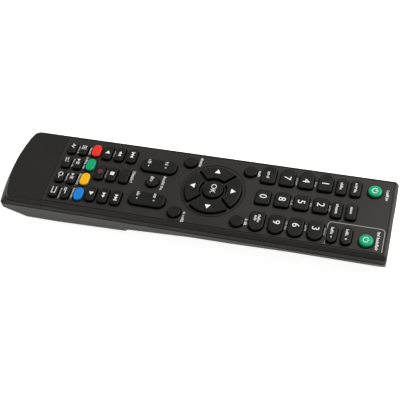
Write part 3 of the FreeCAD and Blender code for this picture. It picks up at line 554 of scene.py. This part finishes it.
rockerWord = (3.0, 1.9)
pairWord = 1.0    # height of the two rows of words on one small key
columnShift = {0: 1.0, 1: -0.1, 2: -0.8}    # the prints sit a little towards the middle of the remote
keyPrints = {
    "power_key": [("pale_mint", powerSymbol(), (0.0, 0.0))],
    "second_power_key": [("pale_mint", powerSymbol(), (0.0, 0.0))],
    "function_key": [("word", (6.6, 1.5), (0.3, 0.0))],
    "radio_key": [("word", (5.4, 1.5), (0.2, 0.0))],
    "disc_key": [("word", (4.6, 1.5), (0.3, 0.0))],
    "screen_key": [("word", (6.6, 1.5), (0.2, 0.0))],
    "second_volume_up_key": [("word", (4.6, 1.5), (-0.9, 0.0)),
                             ("white", plusSign(1.1, 0.35), (2.6, 0.0))],
    "second_volume_down_key": [("word", (4.6, 1.5), (-0.9, 0.0)),
                               ("white", minusSign(1.1, 0.35), (2.6, 0.0))],
    "menu_key": [("word", (5.0, 1.7), (1.1, -0.2))],
    "recall_key": [("word", (5.6, 1.5), (-0.8, 1.0)), ("word", (5.0, 1.5), (-1.0, -0.9))],
    "guide_key": [("word", (3.4, 1.9), (-1.0, -0.4))],
    "volume_rocker": [("word", rockerWord, (-2.0, 4.05)), ("word", rockerWord, (-1.8, -5.75)),
                      ("white", plusSign(0.9, 0.4), (0.8, 4.05)),
                      ("white", minusSign(0.9, 0.4), (0.9, -5.75))],
    "channel_rocker": [("word", rockerWord, (-2.3, 4.05)), ("word", rockerWord, (-2.2, -5.45)),
                       ("white", plusSign(0.9, 0.4), (0.6, 4.05)),
                       ("white", minusSign(0.9, 0.4), (0.6, -5.45))],
    "ok_key": [("text", "OK", (-0.2, 0.3))],
    "up_key": [("white", arrow(0), (-0.3, 0.6))],
    "left_key": [("white", arrow(90), (-1.55, -0.1))],
    "down_key": [("white", arrow(180), (-0.5, -0.8))],
    "right_key": [("white", arrow(270), (1.35, 0.0))],
    "stop_key": [("white", [bar(0, 0, symbolLook["square"], symbolLook["square"])], (-0.1, 0.1))],
    "record_key": [("dark_red", [circlePoints(symbolLook["dot"])], (-0.4, 0.1))],
    "subtitle_key_pair": [("white", gridSymbol(3, 1.0, 0.6), (-1.3, 3.3)),
                          ("white", stroke([(-1.6, -0.7), (-0.6, 0.9), (0.1, -0.7), (1.2, 0.8)], 0.45),
                           (-1.2, -3.4))],
    "text_key_pair": [("white", listSymbol(), (-1.1, 3.2)), ("word", (3.6, pairWord), (-1.2, -2.8)),
                      ("word", (3.2, pairWord), (-1.2, -4.1))],
    "index_key_pair": [("white", listSymbol(), (-0.9, 3.3)),
                       ("white", stroke(circlePoints(1.15, -0.6, 0), 0.4, True) + [bar(1.3, -0.5, 1.6, 0.4)],
                        (-0.8, -3.5))],
    "size_key_pair": [("white", [bar(0, 0.2, 4.2, 0.42), bar(-0.9, -0.7, 2.2, 0.36)], (-1.0, 3.1)),
                      ("white", stroke([(-2.1, 1.0), (2.0, 1.0), (2.0, -1.0), (-2.1, -1.0)], 0.42),
                       (-0.5, -3.4))],
}
for value in range(10):
    across = (value - 1) % 3 if value else 1
    keyPrints["digit_%d_key" % value] = [("text", str(value), (columnShift[across], 0.0))]
for kind in ("previous", "rewind", "reverse", "next", "forward", "play"):
    side = -0.1 if kind in ("previous", "rewind", "reverse") else 0.2
    keyPrints[kind + "_key"] = [("white", transportSymbol(kind), (side, 0.1))]

for key, marks in keyPrints.items():
    low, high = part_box(key)
    middle = ((low[0] + high[0]) / 2, (low[1] + high[1]) / 2)
    shape = bmesh.new()
    ink = "white"
    for what, drawing, place in marks:
        centre = (middle[0] + place[0] * mm, middle[1] + place[1] * mm)
        if what == "text":
            height = printLook["digitHeight"] if drawing.isdigit() else printLook["letterHeight"]
            addText(shape, drawing, height, centre, high[2])
        elif what == "word":
            addWord(shape, drawing[0], drawing[1], centre, high[2])
        else:
            ink = what
            addOutlines(shape, drawing, centre, high[2])
    addShape(key + "_legend", shape, inks[ink], bodyOf[key], slotOf[key])
print("stage: key prints,", len(keyPrints))

# Labels on the panel, each beside its key: place, length and height in mm

panelWords = {
    "white": [
        ("power_key", (1.2, 6.6), (7.2, 1.5)),
        ("second_power_key", (-1.0, 5.7), (11.6, 1.6)),
        ("source_key", (-0.4, 4.25), (8.4, 1.7)),
        ("guide_key", (-0.4, 5.75), (9.6, 1.5)),
        ("picture_key", (-1.2, 5.35), (6.4, 1.5)),
        ("sound_key", (2.3, 5.35), (7.2, 1.5)),
        ("exit_key", (0.4, 4.75), (4.0, 1.5)),
        ("info_key", (-0.4, 4.6), (4.4, 1.5)),
        ("red_key", (0.4, -3.85), (5.4, 1.2)),
        ("green_key", (-1.2, -3.85), (8.6, 1.2)),
        ("yellow_key", (0.2, -3.85), (8.4, 1.2)),
        ("blue_key", (0.0, -3.85), (7.8, 1.2)),
        ("subtitle_key_pair", (0.2, 0.05), (5.6, 1.0)),
        ("text_key_pair", (-0.4, 0.05), (6.4, 1.0)),
        ("index_key_pair", (-0.6, 0.05), (5.4, 1.0)),
        ("size_key_pair", (0.4, 0.05), (6.8, 1.0)),
    ],
    "grey": [
        ("record_key", (0.1, 3.6), (5.4, 1.1)),
        ("reverse_key", (-0.1, 3.6), (4.6, 1.1)),
        ("digit_2_key", (0.7, 4.85), (4.2, 1.1)),
        ("digit_3_key", (-0.4, 4.85), (4.6, 1.1)),
        ("digit_4_key", (1.6, 5.05), (3.4, 1.1)),
        ("digit_5_key", (0.2, 5.05), (3.2, 1.1)),
        ("digit_6_key", (-0.6, 5.05), (4.4, 1.1)),
        ("digit_7_key", (1.5, 5.05), (4.8, 1.1)),
        ("digit_8_key", (0.3, 5.05), (3.4, 1.1)),
        ("digit_9_key", (-0.6, 5.05), (5.2, 1.1)),
    ],
}
for ink, words in panelWords.items():
    shape = bmesh.new()
    for key, place, (length, height) in words:
        low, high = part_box(key)
        centre = ((low[0] + high[0]) / 2 + place[0] * mm, (low[1] + high[1]) / 2 + place[1] * mm)
        addWord(shape, length, height, centre, panelTop)
    addShape("panel_labels_" + ink, shape, inks[ink], bodyOf["upper_case"], slotOf["upper_case"])

# Frame line round the second set of keys, open towards the near edge
frameLine = {"left": -9.0, "right": 5.2, "front": 8.5, "back": -20.3, "corner": 2.0, "width": 0.3}
low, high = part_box("second_power_key")
corner = frameLine["corner"]
route = [(frameLine["right"], frameLine["back"])]
for x, y, start in ((frameLine["left"] + corner, frameLine["back"] + corner, 270),
                    (frameLine["left"] + corner, frameLine["front"] - corner, 180)):
    route += circlePoints(corner, x, y, start, start - 90)
route.append((frameLine["right"], frameLine["front"]))
shape = bmesh.new()
middle = ((low[0] + high[0]) / 2, (low[1] + high[1]) / 2)
addOutlines(shape, stroke(route, frameLine["width"]), middle, panelTop)
addShape("panel_frame_line", shape, inks["grey"], bodyOf["upper_case"], slotOf["upper_case"])
print("stage: panel prints,", wordCount, "words")


# Battery bay: two cells and their contacts, seen when the cover is off. Sizes are in mm. curl rounds the
# sleeve over the ends of the can, and the sunk ones say how deep a part sits in its neighbour.

cellLook = {"curl": 0.35, "sleeveTurn": 1.5, "sleeveSunk": 0.05, "bandStart": 5.5, "bandLength": 7.0,
            "bandProud": 0.04, "plateSunk": 0.1, "nubRadius": 1.9, "nubLength": 1.0, "nubEdge": 0.2,
            "nubRound": 0.25, "collar": 0.8, "collarTop": 0.5, "tailRim": 1.6, "tailDish": 2.0}
contactLook = {"thick": 0.4, "width": 8.0, "height": 8.5, "springRoom": 2.2, "dimple": 1.6,
               "dimpleTop": 0.96, "dimpleRise": 0.2, "edge": 0.12, "longEdge": 6.0}
sides = {"cell": 48, "dimple": 32}    # flat sides of each round piece


def inMetres(look):
    return {name: value * mm for name, value in look.items()}


def turned(shape, profile, x, z, sideCount):
    # a profile of (place along Y, radius) spun about an axis along Y
    rings = []
    for y, radius in profile:
        if radius == 0:
            rings.append([shape.verts.new((x, y, z))])
            continue
        angles = [2 * math.pi * i / sideCount for i in range(sideCount)]
        rings.append([shape.verts.new((x + radius * math.cos(a), y, z + radius * math.sin(a)))
                      for a in angles])
    for first, second in zip(rings, rings[1:]):
        for i in range(sideCount):
            j = (i + 1) % sideCount
            corners = [first[i % len(first)], first[j % len(first)],
                       second[j % len(second)], second[i % len(second)]]
            unique = list(dict.fromkeys(corners))
            if len(unique) > 2:
                shape.faces.new(unique)


cell = inMetres(cellLook)
plate = inMetres(contactLook)
cellLow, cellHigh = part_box("batteries")
contactLow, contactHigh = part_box("battery_contacts")
cellRadius = (cellHigh[2] - cellLow[2]) / 2
cellMiddle = (cellHigh[2] + cellLow[2]) / 2
cellX = cellHigh[0] - cellRadius
tailRoom = plate["springRoom"] - cell["nubLength"]
sleeves, bands, ends = bmesh.new(), bmesh.new(), bmesh.new()
for side in (-1, 1):
    # the cell at -X has its button at the front, the other one at the back
    x = side * cellX
    way = -side
    button = cellHigh[1] if way > 0 else cellLow[1]
    shoulder = button - way * cell["nubLength"]
    tail = cellLow[1] + tailRoom if way > 0 else cellHigh[1] - tailRoom
    curled = cellRadius - cell["curl"]
    turnedIn = cellRadius - 2 * cell["curl"]
    sleeveEnd = cellRadius - cell["sleeveTurn"]
    turned(sleeves, [(shoulder - way * cell["sleeveSunk"], sleeveEnd), (shoulder, turnedIn),
                     (shoulder - way * cell["curl"], cellRadius), (tail + way * cell["curl"], cellRadius),
                     (tail, turnedIn), (tail + way * cell["sleeveSunk"], sleeveEnd)],
           x, cellMiddle, sides["cell"])
    start = shoulder - way * cell["bandStart"]
    stop = start - way * cell["bandLength"]
    proud = cellRadius + cell["bandProud"]
    turned(bands, [(start, curled), (start, proud), (stop, proud), (stop, curled)],
           x, cellMiddle, sides["cell"])
    nub = cell["nubRadius"]
    top = shoulder - way * cell["plateSunk"]
    turned(ends, [(top, curled), (top, nub + cell["collar"]), (shoulder, nub + cell["collarTop"]),
                  (shoulder, nub), (button - way * cell["nubEdge"], nub), (button, nub - cell["nubRound"]),
                  (button, 0)],
           x, cellMiddle, sides["cell"])
    foot = tail + way * cell["plateSunk"]
    turned(ends, [(foot, curled), (foot, cellRadius - cell["tailRim"]), (tail, cellRadius - cell["tailDish"]),
                  (tail, 0)], x, cellMiddle, sides["cell"])
addShape("cell_sleeves", sleeves, plastics["shrink_film_sleeve"], "case", slotOf["batteries"], ["batteries"])
addShape("cell_bands", bands, plastics["shrink_film_band"], "case", slotOf["batteries"], ["batteries"])
addShape("cell_ends", ends, nickelPlate, "case", slotOf["battery_contacts"], ["batteries"])


# Contact springs: a spiral of wire that narrows towards the cell

springLook = {"turns": 3.5, "wire": 0.25, "base": 2.75, "tip": 1.7}    # turns apart, radii in mm


def buildSpringTree():
    tree, names, given = newNodeGroup("contactSpring", [
        ("Turns", "Float"), ("Wire Radius", "Float"), ("Base Radius", "Float"), ("Tip Radius", "Float"),
        ("Length", "Float"), ("Material", "Material")])
    spiral = addNode(tree, "GeometryNodeCurveSpiral", {"Resolution": 32},
                     {"Rotations": (given, "Turns"), "Start Radius": (given, "Base Radius"),
                      "End Radius": (given, "Tip Radius"), "Height": (given, "Length")})
    section = addNode(tree, "GeometryNodeCurvePrimitiveCircle", {"Resolution": 8},
                      {"Radius": (given, "Wire Radius")})
    wire = addNode(tree, "GeometryNodeCurveToMesh", {"Fill Caps": True},
                   {"Curve": (spiral, "Curve"), "Profile Curve": (section, "Curve")})
    finishNodeGroup(tree, given, wire, "Mesh")
    return tree, names


springTree, springInputs = buildSpringTree()


def addSpring(shape, x, foot, way, length):
    holder = bpy.data.objects.new("spring", bpy.data.meshes.new("spring"))
    modifier = holder.modifiers.new("coil", "NODES")
    modifier.node_group = springTree
    sizes = {"Turns": springLook["turns"], "Wire Radius": springLook["wire"] * mm,
             "Base Radius": springLook["base"] * mm, "Tip Radius": springLook["tip"] * mm,
             "Length": length - 2 * springLook["wire"] * mm}
    for label, value in sizes.items():
        modifier[springInputs[label]] = value
    mesh = evaluatedMesh(holder)
    turn = Matrix.Rotation(math.radians(-90 * way), 4, "X")
    place = Matrix.Translation((x, foot + way * springLook["wire"] * mm, cellMiddle))
    mesh.transform(place @ turn)
    shape.from_mesh(mesh)
    bpy.data.meshes.remove(mesh)


springs, plates = bmesh.new(), bmesh.new()
plateMiddle = (contactLow[2] + contactHigh[2]) / 2
plateSize = Matrix.Diagonal((plate["width"], plate["thick"], plate["height"], 1))
for side in (-1, 1):
    x = side * cellX
    for front in (False, True):
        face = contactHigh[1] if front else contactLow[1]
        inward = -1 if front else 1
        inner = face + inward * plate["thick"]
        made = bmesh.ops.create_cube(plates, size=1.0)
        place = Matrix.Translation((x, face + inward * plate["thick"] / 2, plateMiddle))
        bmesh.ops.transform(plates, matrix=place @ plateSize, verts=made["verts"])
        if front == (side > 0):
            addSpring(springs, x, inner, inward, plate["springRoom"])
        else:
            raised = inner + inward * plate["dimpleRise"]
            turned(plates, [(inner - inward * plate["thick"] / 2, plate["dimple"]), (inner, plate["dimple"]),
                            (raised, plate["dimpleTop"]), (raised, 0)], x, cellMiddle, sides["dimple"])
longEdges = [edge for edge in plates.edges if edge.calc_length() > plate["longEdge"]]
bmesh.ops.bevel(plates, geom=longEdges, offset=plate["edge"], segments=2, affect="EDGES")
addShape("contact_plates", plates, nickelPlate, "case", slotOf["battery_contacts"], ["battery_contacts"])
addShape("contact_springs", springs, nickelPlate, "case", slotOf["battery_contacts"], ["battery_contacts"])
print("stage: battery bay")


# Floor, light and camera: places and sizes in metres

view = {"place": (0.27188, 0.11497, 0.38883), "forward": (-0.56631, -0.23174, -0.79095),
        "up": (-0.78328, -0.14729, 0.60397), "lens": 79.06, "sensor": 36.0}
floorLook = {"size": 6.0, "tone": "f4f4f2", "glow": 0.87, "mirrored": 0.66, "fibreMm": 0.6,
             "fibreDepthMm": 0.2, "bump": 0.03}
lights = {
    "world": 0.21,
    "mirrored": 0.75,
    "key": {"place": (-0.26, 0.36, 0.5), "size": (0.3, 0.3), "power": 5.5},
    "side": {"place": (0.2, -0.13, 0.01), "size": (0.1, 0.015), "power": 0.06},
}


def seenShare(tree, mirroredShare):
    # 1 for the camera, a share of it for gloss and for clear materials, 0 for plain light
    path = addNode(tree, "ShaderNodeLightPath")
    mirrored = calculate(tree, "MAXIMUM", (path, "Is Glossy Ray"), (path, "Is Transmission Ray"))
    partly = calculate(tree, "MULTIPLY", mirrored, mirroredShare)
    return calculate(tree, "MAXIMUM", (path, "Is Camera Ray"), partly)


def addFloor(look):
    mesh = bpy.data.meshes.new("floor")
    half = look["size"] / 2
    corners = [(-half, -half, 0), (half, -half, 0), (half, half, 0), (-half, half, 0)]
    mesh.from_pydata(corners, [], [(0, 1, 2, 3)])
    floor = bpy.data.objects.new("floor", mesh)
    bpy.context.scene.collection.objects.link(floor)
    material, tree, output, coords = newMaterial("white_studio_paper")
    fibre = addNode(tree, "ShaderNodeTexNoise", {"Scale": 1 / (look["fibreMm"] * mm), "Detail": 2.0},
                    {"Vector": (coords, "Object")})
    bump = addNode(tree, "ShaderNodeBump", {"Strength": look["bump"], "Distance": look["fibreDepthMm"] * mm},
                   {"Height": (fibre, "Fac")})
    paper = addNode(tree, "ShaderNodeBsdfDiffuse", {"Color": srgb(look["tone"])},
                    {"Normal": (bump, "Normal")})
    strength = calculate(tree, "MULTIPLY", seenShare(tree, look["mirrored"]), look["glow"])
    glow = addNode(tree, "ShaderNodeEmission", {"Color": (1, 1, 1, 1)}, {"Strength": strength})
    both = addNode(tree, "ShaderNodeAddShader", {}, {0: (paper, "BSDF"), 1: (glow, "Emission")})
    tree.links.new(both.outputs["Shader"], output.inputs["Surface"])
    mesh.materials.append(material)


addFloor(floorLook)

world = bpy.data.worlds.new("studio")
bpy.context.scene.world = world
world.use_nodes = True
worldTree = world.node_tree
worldTree.nodes.clear()
worldOut = worldTree.nodes.new("ShaderNodeOutputWorld")
softSky = addNode(worldTree, "ShaderNodeBackground", {"Color": (1, 1, 1, 1), "Strength": lights["world"]})
seenSky = addNode(worldTree, "ShaderNodeBackground", {"Color": (1, 1, 1, 1), "Strength": 1.0})
mixSky = addNode(worldTree, "ShaderNodeMixShader", {},
                 {0: seenShare(worldTree, lights["mirrored"]), 1: (softSky, "Background"),
                  2: (seenSky, "Background")})
worldTree.links.new(mixSky.outputs["Shader"], worldOut.inputs["Surface"])


def addLamp(name, look):
    lamp = bpy.data.lights.new(name, "AREA")
    lamp.shape = "RECTANGLE"
    lamp.size, lamp.size_y = look["size"]
    lamp.energy = look["power"]
    lampObject = bpy.data.objects.new(name, lamp)
    place = Vector(look["place"])
    aim = (-place).to_track_quat("-Z", "Y").to_matrix().to_4x4()
    lampObject.matrix_world = Matrix.Translation(place) @ aim
    bpy.context.scene.collection.objects.link(lampObject)


addLamp("key_light", lights["key"])
addLamp("side_light", lights["side"])

camera = bpy.data.cameras.new("camera")
camera.lens = view["lens"]
camera.sensor_width = view["sensor"]
camera.clip_start = 0.01
cameraObject = bpy.data.objects.new("camera", camera)
forward = Vector(view["forward"]).normalized()
up = Vector(view["up"]).normalized()
right = forward.cross(up).normalized()
up = right.cross(forward)
turn = Matrix((right, up, -forward)).transposed().to_4x4()
cameraObject.matrix_world = Matrix.Translation(Vector(view["place"])) @ turn
bpy.context.scene.collection.objects.link(cameraObject)
bpy.context.scene.camera = cameraObject
bpy.context.scene.view_settings.view_transform = "Standard"
print("stage: camera and light")
